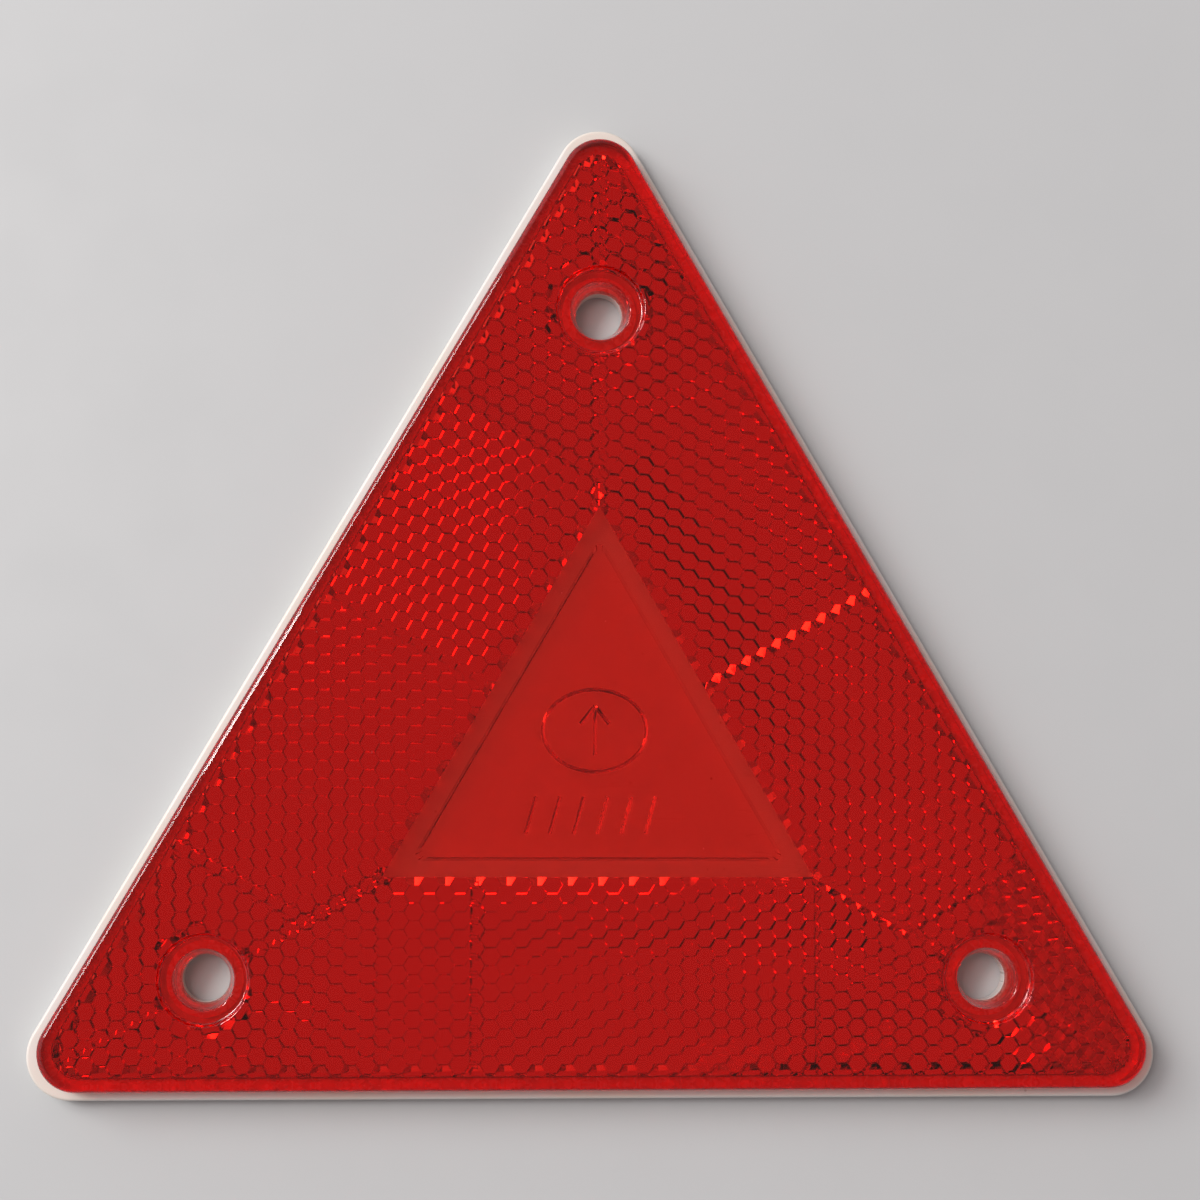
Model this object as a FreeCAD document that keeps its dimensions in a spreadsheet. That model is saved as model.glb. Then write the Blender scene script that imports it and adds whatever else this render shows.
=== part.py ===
import FreeCAD, Part
import math
import os

import Sketcher
from FreeCAD import Placement, Rotation, Vector

# Triangular retro-reflector for the back of a trailer, in millimetres. It lies on its back: the
# mounting face is the plane z = 0, the lens faces +Z, and one corner points along +Y. The origin is
# the centre of the three screw holes on the mounting face.
#
# Every outline is an equilateral triangle with rounded corners, and all of them share one centre. An
# outline is given by its inset, which is how far it lies inside the outer face of the back plate. The
# lens and what it fits into have their corners drawn round the same three points, so a wall between two
# of their insets has the same thickness on its sides and corners. The plate's outer face and the border
# of its mounting face are drawn round three points of their own, with tighter corners.

# --- Driving dimensions ---------------------------------------------------------------------------

SIZES = [
    # Overall
    ("overall_width", 155.0, "width of the back plate along its flat side"),
    ("overall_height", 7.5, "mounting face to front of lens"),
    ("corner_radius", 6.0, "corners of the back plate"),
    # Back plate
    ("floor_thickness", 2.0, "plate between the mounting face and the inside"),
    ("rim_height", 3.4, "mounting face to top of the flange round the lens"),
    ("rim_width", 1.35, "flange that shows round the lens"),
    ("rim_rounding", 0.4, "outer top edge of the flange"),
    ("rear_rounding", 0.3, "outer edge of the mounting face"),
    ("rib_thickness", 1.0, "rib that locates the lens wall from inside"),
    ("rib_height", 0.8, "the same rib above the floor"),
    ("rear_land_width", 5.5, "flat border of the mounting face"),
    ("rear_panel_depth", 0.6, "hollow inside that border"),
    ("rear_pad_diameter", 17.0, "flat pad round each screw hole on the mounting face"),
    ("rear_rib_width", 2.4, "ribs that join the pads across the hollow"),
    ("boss_height", 0.6, "raised seat under each screw well"),
    # Lens
    ("lens_clearance", 0.1, "gap between flange and lens wall, and between rib and lens wall"),
    ("lens_wall", 1.8, "side wall of the lens"),
    ("sheet_thickness", 2.2, "front sheet, from its face to the roots of the prisms"),
    ("lens_rounding", 0.9, "front edge of the lens"),
    ("lens_corner_extra", 0.75, "added to the corner radius of the lens and of the flange's inside"),
    ("prism_pitch", 2.43, "centre to centre of neighbouring corner-cube prisms"),
    ("window_side", 59.3, "triangle without prisms in the middle"),
    ("window_corner", 1.0, "corners of that triangle"),
    ("window_border", 2.2, "from its edge to the raised pane inside it"),
    ("pane_height", 0.5, "raised pane behind the front sheet"),
    # Screw wells
    ("hole_inset", 16.4, "centre of a screw hole to the two nearest sides of the plate"),
    ("hole_diameter", 6.5, "screw hole through the plate and at the foot of the well"),
    ("well_diameter", 8.3, "screw well at its mouth"),
    ("dish_diameter", 12.3, "recess for the screw head"),
    ("dish_depth", 1.0, "the same recess below the front"),
    ("well_wall", 2.0, "plastic round the mouth of the well"),
    # Welds
    ("weld_width", 1.2, "bead under the lens wall and under each well"),
    ("weld_height", 0.3, "bead between plate and lens"),
]

HOLE_COUNT = 3
THIRD_TURN = 360 / HOLE_COUNT
SMALLEST_CORNER = 0.5
ABOVE_LENS = 1.0
SAME_PLANE = 1e-6

doc = FreeCAD.newDocument("warning_triangle")
sheet = doc.addObject("Spreadsheet::Sheet", "Sizes")
for row, (alias, size, meaning) in enumerate(SIZES, start=1):
    sheet.set(f"A{row}", alias.replace("_", " "))
    sheet.set(f"B{row}", str(size))
    sheet.set(f"C{row}", meaning)
    sheet.setAlias(f"B{row}", alias)
doc.recompute()

# --- Dimensions that follow from them, as expressions ---------------------------------------------

PLATE_INRADIUS = "(Sizes.overall_width + 2 * Sizes.corner_radius * (sqrt(3) - 1)) / (2 * sqrt(3))"
HOLE_RADIUS = f"2 * ({PLATE_INRADIUS} - Sizes.hole_inset)"

FITTED_CORNER = "(Sizes.corner_radius + Sizes.lens_corner_extra)"
LENS_INSET = "(Sizes.rim_width + Sizes.lens_clearance)"
CAVITY_INSET = f"({LENS_INSET} + Sizes.lens_wall)"
RIB_INSET = f"({CAVITY_INSET} + Sizes.lens_clearance)"
WELD_INSET = f"({LENS_INSET} + (Sizes.lens_wall - Sizes.weld_width) / 2)"

LENS_FOOT = "(Sizes.floor_thickness + Sizes.weld_height)"
BOSS_TOP = "(Sizes.floor_thickness + Sizes.boss_height)"
WELL_FOOT = f"({BOSS_TOP} + Sizes.weld_height)"
SHEET_BACK = "(Sizes.overall_height - Sizes.sheet_thickness)"
DISH_FLOOR = "(Sizes.overall_height - Sizes.dish_depth)"
WELL_OUTER_DIAMETER = "(Sizes.well_diameter + 2 * Sizes.well_wall)"

# A corner-cube prism is pitch * sqrt(2 / 3) deep from root to tip and fills half of that depth, so a plain
# layer of half the depth holds the same volume of plastic.
PRISM_LAYER = "(Sizes.prism_pitch * sqrt(2 / 3) / 2)"
PRISM_BACK = f"({SHEET_BACK} - {PRISM_LAYER})"

WINDOW_INRADIUS = "Sizes.window_side / (2 * sqrt(3))"
PANE_INRADIUS = f"({WINDOW_INRADIUS} - Sizes.window_border)"


def size_of(expression):
    """Value of an expression on the sheet, in millimetres."""
    return float(sheet.evalExpression(expression))


# --- Sketches -------------------------------------------------------------------------------------


def new_body(name):
    body = doc.addObject("PartDesign::Body", name)
    body.Label = name
    return body


def origin_feature(body, role):
    return next(feature for feature in body.Origin.OriginFeatures if feature.Role == role)


def new_sketch(body, name, plane, level="0"):
    """Sketch on one of the body's own origin planes, lifted off it by level."""
    sketch = body.newObject("Sketcher::SketchObject", name)
    sketch.AttachmentSupport = [(origin_feature(body, plane), "")]
    sketch.MapMode = "FlatFace"
    sketch.setExpression("AttachmentOffset.Base.z", level)
    return sketch


def bind(sketch, constraint, name, expression):
    """Add a driving constraint, name it and tie its value to the sheet."""
    index = sketch.addConstraint(constraint)
    sketch.renameConstraint(index, name)
    sketch.setExpression(f"Constraints.{name}", expression)


def draw_rounded_triangle(sketch, tag, inradius, corner):
    """Equilateral triangle round the origin with one corner on +Y: three sides and three tangent arcs."""
    radius = size_of(corner)
    reach = 2 * (size_of(inradius) - radius)
    headings = [210, 330, 90]
    centres = [Rotation(Vector(0, 0, 1), heading).multVec(Vector(reach, 0, 0)) for heading in headings]
    first = sketch.GeometryCount
    for heading, centre in zip(headings, centres):
        circle = Part.Circle(centre, Vector(0, 0, 1), radius)
        sketch.addGeometry(Part.ArcOfCircle(circle, math.radians(heading - 60), math.radians(heading + 60)))
    for k in range(3):
        start = sketch.getPoint(first + k, 2)
        end = sketch.getPoint(first + (k + 1) % 3, 1)
        sketch.addGeometry(Part.LineSegment(start, end))
    left, right, top = first, first + 1, first + 2
    bottom_side, right_side, left_side = first + 3, first + 4, first + 5
    for k in range(3):
        sketch.addConstraint(Sketcher.Constraint("Tangent", first + k, 2, first + 3 + k, 1))
        sketch.addConstraint(Sketcher.Constraint("Tangent", first + 3 + k, 2, first + (k + 1) % 3, 1))
    sketch.addConstraint(Sketcher.Constraint("Equal", left, right))
    sketch.addConstraint(Sketcher.Constraint("Equal", left, top))
    sketch.addConstraint(Sketcher.Constraint("Horizontal", bottom_side))
    sketch.addConstraint(Sketcher.Constraint("Equal", bottom_side, right_side))
    sketch.addConstraint(Sketcher.Constraint("Equal", bottom_side, left_side))
    sketch.addConstraint(Sketcher.Constraint("PointOnObject", top, 3, -2))
    bind(sketch, Sketcher.Constraint("Radius", left, radius), f"{tag}_corner", corner)
    bind(
        sketch,
        Sketcher.Constraint("DistanceY", bottom_side, 1, -1, 1, size_of(inradius)),
        f"{tag}_inradius",
        inradius,
    )
    bind(
        sketch,
        Sketcher.Constraint("DistanceX", left, 3, right, 3, math.sqrt(3) * reach),
        f"{tag}_centres",
        f"2 * sqrt(3) * ({inradius} - {corner})",
    )


def draw_outline(sketch, tag, inset, corner_at_edge=FITTED_CORNER):
    """Rounded outline, inset from the outer face of the back plate.

    Its corner is the radius that the family of outlines has at that face, less the inset.
    """
    corner = f"max({corner_at_edge} - {inset}; {SMALLEST_CORNER})"
    draw_rounded_triangle(sketch, tag, f"({PLATE_INRADIUS} - {inset})", corner)


def draw_circle_at_top_hole(sketch, tag, diameter):
    """Circle round the axis of the screw hole on +Y."""
    centre = Vector(0, size_of(HOLE_RADIUS), 0)
    circle = sketch.addGeometry(Part.Circle(centre, Vector(0, 0, 1), size_of(diameter) / 2))
    sketch.addConstraint(Sketcher.Constraint("PointOnObject", circle, 3, -2))
    bind(sketch, Sketcher.Constraint("Diameter", circle, size_of(diameter)), f"{tag}_diameter", diameter)
    bind(
        sketch,
        Sketcher.Constraint("DistanceY", -1, 1, circle, 3, size_of(HOLE_RADIUS)),
        f"{tag}_radius",
        HOLE_RADIUS,
    )


def draw_polygon(sketch, tag, corners):
    """Closed polygon whose corners are pairs of expressions, each zero or more from the sketch's origin."""
    first = sketch.GeometryCount
    points = [Vector(size_of(x), size_of(y), 0) for x, y in corners]
    count = len(points)
    for k in range(count):
        sketch.addGeometry(Part.LineSegment(points[k], points[(k + 1) % count]))
    for k in range(count):
        sketch.addConstraint(Sketcher.Constraint("Coincident", first + k, 2, first + (k + 1) % count, 1))
    for k, (x, y) in enumerate(corners):
        across = Sketcher.Constraint("DistanceX", -1, 1, first + k, 1, points[k].x)
        along = Sketcher.Constraint("DistanceY", -1, 1, first + k, 1, points[k].y)
        bind(sketch, across, f"{tag}_x{k}", x)
        bind(sketch, along, f"{tag}_y{k}", y)


# --- Features -------------------------------------------------------------------------------------


def pad(body, name, sketch, length):
    """Solid from the sketch towards +Z."""
    feature = body.newObject("PartDesign::Pad", name)
    feature.Profile = sketch
    feature.setExpression("Length", length)
    doc.recompute()
    return feature


def pocket(body, name, sketch, length, towards_front=False):
    """Cut from the sketch towards the mounting face, or towards the front. It must remove plastic."""
    before = body.Shape.Volume
    feature = body.newObject("PartDesign::Pocket", name)
    feature.Profile = sketch
    feature.Reversed = towards_front
    feature.setExpression("Length", length)
    doc.recompute()
    if body.Shape.Volume >= before:
        raise RuntimeError(f"{name} cuts nothing")
    return feature


def repeat_at_each_hole(body, name, features):
    """The same features at all three screw holes."""
    pattern = body.newObject("PartDesign::PolarPattern", name)
    pattern.Originals = features
    pattern.Axis = (origin_feature(body, "Z_Axis"), [""])
    pattern.Angle = 360
    pattern.Occurrences = HOLE_COUNT
    body.Tip = pattern
    doc.recompute()
    return pattern


def hole_groove(body, name, corners):
    """Cut a profile round the axis of the screw hole on +Y.

    Each corner of the profile is its distance from that axis and its height.
    """
    before = body.Shape.Volume
    sketch = new_sketch(body, f"{name}_profile", "YZ_Plane")
    draw_polygon(sketch, "profile", [(f"{HOLE_RADIUS} + {distance}", height) for distance, height in corners])
    foot = Vector(size_of(HOLE_RADIUS), 0, 0)
    axis = sketch.addGeometry(Part.LineSegment(foot, foot + Vector(0, 1, 0)), True)
    sketch.addConstraint(Sketcher.Constraint("PointOnObject", axis, 1, -1))
    sketch.addConstraint(Sketcher.Constraint("Vertical", axis))
    bind(sketch, Sketcher.Constraint("DistanceX", -1, 1, axis, 1, foot.x), "axis_radius", HOLE_RADIUS)
    bind(sketch, Sketcher.Constraint("Distance", axis, 1), "axis_length", "Sizes.overall_height")
    feature = body.newObject("PartDesign::Groove", name)
    feature.Profile = sketch
    feature.ReferenceAxis = (sketch, ["Axis0"])
    feature.Angle = 360
    doc.recompute()
    if body.Shape.Volume >= before:
        raise RuntimeError(f"{name} cuts nothing")
    return feature


def round_outer_edge(body, name, level, radius):
    """Round the outer edge of the face in the plane z = level."""
    base = body.Tip
    height = size_of(level)
    flat = next(
        face
        for face in base.Shape.Faces
        if max(abs(face.BoundBox.ZMin - height), abs(face.BoundBox.ZMax - height)) < SAME_PLANE
    )
    rim = flat.OuterWire.Edges
    edges = enumerate(base.Shape.Edges, start=1)
    names = [f"Edge{number}" for number, edge in edges if any(map(edge.isSame, rim))]
    fillet = body.newObject("PartDesign::Fillet", name)
    fillet.Base = (base, names)
    fillet.setExpression("Radius", radius)
    doc.recompute()
    return fillet


# --- Back plate -----------------------------------------------------------------------------------


def make_back_plate():
    """White plate: floor, flange, locating rib and boss seats in front; hollow, pads and ribs behind."""
    body = new_body("back_plate")

    block = new_sketch(body, "plate_outline", "XY_Plane")
    draw_outline(block, "outer", "0", "Sizes.corner_radius")
    pad(body, "plate_block", block, "Sizes.rim_height")
    round_outer_edge(body, "flange_rounding", "Sizes.rim_height", "Sizes.rim_rounding")
    round_outer_edge(body, "rear_edge_rounding", "0", "Sizes.rear_rounding")

    tray = new_sketch(body, "tray_outline", "XY_Plane", "Sizes.rim_height")
    draw_outline(tray, "tray", "Sizes.rim_width")
    pocket(body, "tray", tray, "Sizes.rim_height - Sizes.floor_thickness")

    rib = new_sketch(body, "locating_rib_outline", "XY_Plane", "Sizes.floor_thickness")
    draw_outline(rib, "outside", RIB_INSET)
    draw_outline(rib, "inside", f"({RIB_INSET} + Sizes.rib_thickness)")
    pad(body, "locating_rib", rib, "Sizes.rib_height")

    hollow = new_sketch(body, "rear_hollow_outline", "XY_Plane")
    draw_outline(hollow, "hollow", "Sizes.rear_land_width", "Sizes.corner_radius")
    pocket(body, "rear_hollow", hollow, "Sizes.rear_panel_depth", towards_front=True)

    rear_pad = new_sketch(body, "rear_pad_outline", "XY_Plane")
    draw_circle_at_top_hole(rear_pad, "pad", "Sizes.rear_pad_diameter")
    rear_pad_feature = pad(body, "rear_pad", rear_pad, "Sizes.floor_thickness")

    rear_rib = new_sketch(body, "rear_rib_outline", "XZ_Plane")
    draw_rear_rib(rear_rib)
    rear_rib_feature = pad(body, "rear_rib", rear_rib, HOLE_RADIUS)
    rear_rib_feature.Reversed = True

    seat = new_sketch(body, "boss_seat_outline", "XY_Plane", "Sizes.floor_thickness")
    draw_circle_at_top_hole(seat, "seat", WELL_OUTER_DIAMETER)
    seat_feature = pad(body, "boss_seat", seat, "Sizes.boss_height")

    hole = new_sketch(body, "screw_hole_outline", "XY_Plane", BOSS_TOP)
    draw_circle_at_top_hole(hole, "hole", "Sizes.hole_diameter")
    hole_feature = pocket(body, "screw_hole", hole, BOSS_TOP)

    at_each_hole = [rear_pad_feature, rear_rib_feature, seat_feature, hole_feature]
    repeat_at_each_hole(body, "three_bosses", at_each_hole)
    return body


def draw_rear_rib(sketch):
    """Cross-section of a rear rib, centred on the vertical plane through the screw hole."""
    width = size_of("Sizes.rear_rib_width")
    depth = size_of("Sizes.floor_thickness")
    half = width / 2
    corners = [Vector(-half, 0, 0), Vector(half, 0, 0), Vector(half, depth, 0), Vector(-half, depth, 0)]
    for k in range(4):
        sketch.addGeometry(Part.LineSegment(corners[k], corners[(k + 1) % 4]))
    for k in range(4):
        sketch.addConstraint(Sketcher.Constraint("Coincident", k, 2, (k + 1) % 4, 1))
    for side, direction in enumerate(["Horizontal", "Vertical", "Horizontal", "Vertical"]):
        sketch.addConstraint(Sketcher.Constraint(direction, side))
    sketch.addConstraint(Sketcher.Constraint("Symmetric", 0, 1, 0, 2, -1, 1))
    bind(sketch, Sketcher.Constraint("DistanceX", 0, 1, 0, 2, width), "width", "Sizes.rear_rib_width")
    bind(sketch, Sketcher.Constraint("DistanceY", 1, 1, 1, 2, depth), "depth", "Sizes.floor_thickness")


# --- Lens -----------------------------------------------------------------------------------------


def make_lens():
    """Red lens: open box with a layer of prisms behind its front, a plain window and three screw wells."""
    body = new_body("lens")

    block = new_sketch(body, "lens_outline", "XY_Plane", LENS_FOOT)
    draw_outline(block, "outer", LENS_INSET)
    pad(body, "lens_block", block, f"Sizes.overall_height - {LENS_FOOT}")
    round_outer_edge(body, "front_edge_rounding", "Sizes.overall_height", "Sizes.lens_rounding")

    cavity = new_sketch(body, "cavity_outline", "XY_Plane", LENS_FOOT)
    draw_outline(cavity, "cavity", CAVITY_INSET)
    pocket(body, "cavity", cavity, f"{PRISM_BACK} - {LENS_FOOT}", towards_front=True)

    window = new_sketch(body, "window_outline", "XY_Plane", PRISM_BACK)
    draw_rounded_triangle(window, "window", WINDOW_INRADIUS, "Sizes.window_corner")
    pocket(body, "window", window, PRISM_LAYER, towards_front=True)

    pane = new_sketch(body, "pane_outline", "XY_Plane", f"{SHEET_BACK} - Sizes.pane_height")
    draw_rounded_triangle(pane, "pane", PANE_INRADIUS, "Sizes.window_corner")
    pad(body, "pane", pane, "Sizes.pane_height")

    well = new_sketch(body, "well_outline", "XY_Plane", WELL_FOOT)
    draw_circle_at_top_hole(well, "well", WELL_OUTER_DIAMETER)
    well_feature = pad(body, "well", well, f"{DISH_FLOOR} - {WELL_FOOT}")

    hole_feature = hole_groove(body, "screw_hole", [
        ("0", "0"),
        ("Sizes.hole_diameter / 2", "0"),
        ("Sizes.hole_diameter / 2", WELL_FOOT),
        ("Sizes.well_diameter / 2", DISH_FLOOR),
        ("Sizes.dish_diameter / 2", DISH_FLOOR),
        ("Sizes.dish_diameter / 2", f"(Sizes.overall_height + {ABOVE_LENS})"),
        ("0", f"(Sizes.overall_height + {ABOVE_LENS})"),
    ])

    repeat_at_each_hole(body, "three_wells", [well_feature, hole_feature])
    return body


# --- Welds ----------------------------------------------------------------------------------------


def make_perimeter_weld():
    """Bead between the plate and the foot of the lens wall, all the way round."""
    body = new_body("perimeter_weld")
    bead = new_sketch(body, "bead_outline", "XY_Plane", "Sizes.floor_thickness")
    draw_outline(bead, "outside", WELD_INSET)
    draw_outline(bead, "inside", f"({WELD_INSET} + Sizes.weld_width)")
    pad(body, "bead", bead, "Sizes.weld_height")
    return body


def make_hole_weld(place, turn):
    """Ring bead between one boss seat and the foot of its screw well."""
    body = new_body(f"hole_weld_{place}")
    ring = new_sketch(body, f"{place}_ring_outline", "XY_Plane", BOSS_TOP)
    middle = f"(Sizes.hole_diameter + {WELL_OUTER_DIAMETER}) / 2"
    draw_circle_at_top_hole(ring, "outside", f"({middle} + Sizes.weld_width)")
    draw_circle_at_top_hole(ring, "inside", f"({middle} - Sizes.weld_width)")
    pad(body, f"{place}_ring", ring, "Sizes.weld_height")
    body.Placement = Placement(Vector(0, 0, 0), Rotation(Vector(0, 0, 1), turn))
    return body


# --- Assembly -------------------------------------------------------------------------------------

parts = [make_back_plate(), make_lens(), make_perimeter_weld()]
for index, place in enumerate(["top", "left", "right"]):
    parts.append(make_hole_weld(place, index * THIRD_TURN))
doc.recompute()

failed = [obj.Name for obj in doc.Objects if {"Invalid", "Error"} & set(obj.State)]
if failed:
    raise RuntimeError(f"these features failed: {failed}")
for part in parts:
    if part.Shape.isNull() or not part.Shape.isValid():
        raise RuntimeError(f"{part.Label} has no valid shape")
    if len(part.Shape.Solids) != 1:
        raise RuntimeError(f"{part.Label} is {len(part.Shape.Solids)} solids, not one")

os.makedirs("parts", exist_ok=True)
for part in parts:
    part.Shape.exportStep(f"parts/{part.Label}.step")
    print(f"{part.Label}: {part.Shape.Volume:.0f} mm3")
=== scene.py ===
"""Red triangular retro-reflector for the back of a trailer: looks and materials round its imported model.

The lens is one closed moulding with a rounded front, three screw wells, a plain window and twelve sectors of
corner-cube prisms on its back. The back plate is a white tray with a flange, bosses and a ribbed rear face.
"""

import bmesh
import bpy
import numpy as np
from mathutils import Euler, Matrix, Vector
from mathutils.geometry import delaunay_2d_cdt


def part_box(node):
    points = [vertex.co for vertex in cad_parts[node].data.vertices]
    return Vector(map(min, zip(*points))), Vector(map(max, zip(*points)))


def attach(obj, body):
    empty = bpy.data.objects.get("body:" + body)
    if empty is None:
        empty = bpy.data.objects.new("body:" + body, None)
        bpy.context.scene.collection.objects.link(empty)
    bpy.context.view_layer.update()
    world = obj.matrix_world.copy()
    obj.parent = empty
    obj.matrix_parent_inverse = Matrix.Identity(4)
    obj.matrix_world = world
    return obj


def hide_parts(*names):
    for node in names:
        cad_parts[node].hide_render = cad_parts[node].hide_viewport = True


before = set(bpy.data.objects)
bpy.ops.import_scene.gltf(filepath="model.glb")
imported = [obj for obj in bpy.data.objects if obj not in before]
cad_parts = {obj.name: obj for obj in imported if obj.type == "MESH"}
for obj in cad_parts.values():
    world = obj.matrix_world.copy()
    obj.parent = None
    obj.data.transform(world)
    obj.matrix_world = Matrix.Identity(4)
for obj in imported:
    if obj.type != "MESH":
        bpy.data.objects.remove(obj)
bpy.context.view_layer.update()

bl_info = {
    "name": "Triangular retro-reflector",
    "version": (1, 0, 0),
    "blender": (4, 5, 0),
    "location": "3D View > Sidebar > Reflector",
    "description": "Moulded red lens with corner-cube prisms, welded to a white back plate",
    "category": "Add Mesh",
}

MM = 0.001


def box_mm(node):
    """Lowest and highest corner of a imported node, in millimetres."""
    low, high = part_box(node)
    return np.array(low) / MM, np.array(high) / MM


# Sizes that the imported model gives. All the outlines share one centre, and an inset is how far an outline lies
# inside the outer face of the back plate. The corner radius of an outline is that of its family at the plate's
# outer face, less the inset. The lens and what it fits into are a family with rounder corners than the plate's.
PLATE_LOW, PLATE_HIGH = box_mm("back_plate")
LENS_LOW, LENS_HIGH = box_mm("lens")
BEAD_LOW = box_mm("perimeter_weld")[0]
RING_LOW, RING_HIGH = box_mm("hole_weld_top")
PLATE_INRADIUS = -PLATE_LOW[1]
CORNER_RADIUS = (np.sqrt(3) * PLATE_INRADIUS - PLATE_HIGH[0]) / (np.sqrt(3) - 1)
LENS_INSET = LENS_LOW[1] - PLATE_LOW[1]
LENS_CORNER = (np.sqrt(3) * -LENS_LOW[1] - LENS_HIGH[0]) / (np.sqrt(3) - 1)
FITTED_CORNER = LENS_CORNER + LENS_INSET
FLANGE_TOP, LENS_FRONT, LENS_FOOT = PLATE_HIGH[2], LENS_HIGH[2], LENS_LOW[2]
FLOOR, BOSS_TOP, WELL_FOOT = BEAD_LOW[2], RING_LOW[2], RING_HIGH[2]
HOLE_REACH = (RING_LOW[1] + RING_HIGH[1]) / 2
WELL_OUTER = 6.15

CORNER_HEADINGS = np.radians([90, 210, 330])
SMALLEST_CORNER = 0.5
ARC_STEPS = 24
CIRCLE_STEPS = 72
SAME_LEVEL = 0.0005
FIRST_SECTOR = 5
NETWORK_EPSILON = 1e-5


# --- Surfaces ------------------------------------------------------------------------------------
# A surface is its points, the corners of its faces end to end, and how many corners each face has.


def heading_vectors(headings):
    """Unit vectors in the plane at the given headings."""
    return np.stack([np.cos(headings), np.sin(headings)], axis=-1)


def rounded_triangle(inradius, corner, steps=ARC_STEPS):
    """Outline of an equilateral triangle with round corners.

    Each corner is its centre plus a radius swept 60 degrees to either side of the corner's heading. The centres
    lie twice (inradius - corner) from the middle.
    """
    sweep = np.radians(np.linspace(-60, 60, steps + 1))
    centres = 2 * (inradius - corner) * heading_vectors(CORNER_HEADINGS)
    arcs = corner * heading_vectors(CORNER_HEADINGS[:, None] + sweep)
    return (centres[:, None, :] + arcs).reshape(-1, 2)


def outline(inset, family=FITTED_CORNER):
    """The outline at an inset from the outer face of the plate, in a family of corners."""
    corner = max(family - inset, SMALLEST_CORNER)
    return rounded_triangle(PLATE_INRADIUS - inset, corner)


def circle(centre, radius, steps=CIRCLE_STEPS):
    """Points of a circle: centre plus radius at equal headings."""
    return np.asarray(centre) + radius * heading_vectors(np.arange(steps) * 2 * np.pi / steps)


def closed(points):
    """The same outline with its first point repeated at the end."""
    return np.vstack([points, points[:1]])


def rounding(centre_a, centre_b, radius, first, last, steps=8):
    """Quarter or other arc of a profile: its centre plus radius at headings from first to last, in degrees."""
    angles = np.radians(np.linspace(first, last, steps + 1))
    return np.stack([centre_a + radius * np.cos(angles), centre_b + radius * np.sin(angles)], axis=-1)


def grid_surface(points):
    """Quads between the rows of a grid of points, each row closed on itself."""
    rows, columns = points.shape[:2]
    index = np.arange(rows * columns).reshape(rows, columns)
    along = np.roll(index, -1, axis=1)
    quads = np.stack([index[:-1], along[:-1], along[1:], index[1:]], axis=-1).reshape(-1, 4)
    return points.reshape(-1, 3), quads.ravel(), np.full(len(quads), 4)


def swept(profile, families=None):
    """Profile of (inset, height) pairs carried round the outline, each pair in a family of corners."""
    families = families or [FITTED_CORNER] * len(profile)
    rows = [np.column_stack([outline(inset, family), np.full(3 * (ARC_STEPS + 1), height)])
            for (inset, height), family in zip(profile, families)]
    return grid_surface(np.array(rows))


def turned(profile, centre):
    """Profile of (radius, height) pairs turned round the vertical axis through centre."""
    rows = [np.column_stack([circle(centre, radius), np.full(CIRCLE_STEPS, height)])
            for radius, height in profile]
    return grid_surface(np.array(rows))


def joined(surfaces):
    """Several surfaces as one: points end to end, corners shifted past the points before them."""
    points = np.vstack([surface[0] for surface in surfaces])
    starts = np.cumsum([0] + [len(surface[0]) for surface in surfaces[:-1]])
    corners = np.concatenate([surface[1] + start for surface, start in zip(surfaces, starts)])
    sizes = np.concatenate([surface[2] for surface in surfaces])
    return points, corners, sizes


def counted(counts):
    """0, 1, 2 and so on up to each count in turn, end to end."""
    starts = np.cumsum(counts) - counts
    return np.arange(counts.sum()) - np.repeat(starts, counts)


def network(lines, extra):
    """Triangles of the plane that keep every given line as edges, as points and corner triples."""
    points = np.vstack(lines + [extra])
    lengths = np.array([len(line) for line in lines])
    starts = np.repeat(np.cumsum(lengths) - lengths, lengths - 1) + counted(lengths - 1)
    unique, index = np.unique(np.round(points, 5), axis=0, return_inverse=True)
    index = index.ravel()
    edges = np.unique(np.sort(np.column_stack([index[starts], index[starts + 1]]), axis=1), axis=0)
    edges = edges[edges[:, 0] != edges[:, 1]]
    found = delaunay_2d_cdt([Vector(p) for p in unique.tolist()], edges.tolist(), [], 0, NETWORK_EPSILON)
    return np.array([tuple(v) for v in found[0]]), np.array(found[2])


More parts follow.
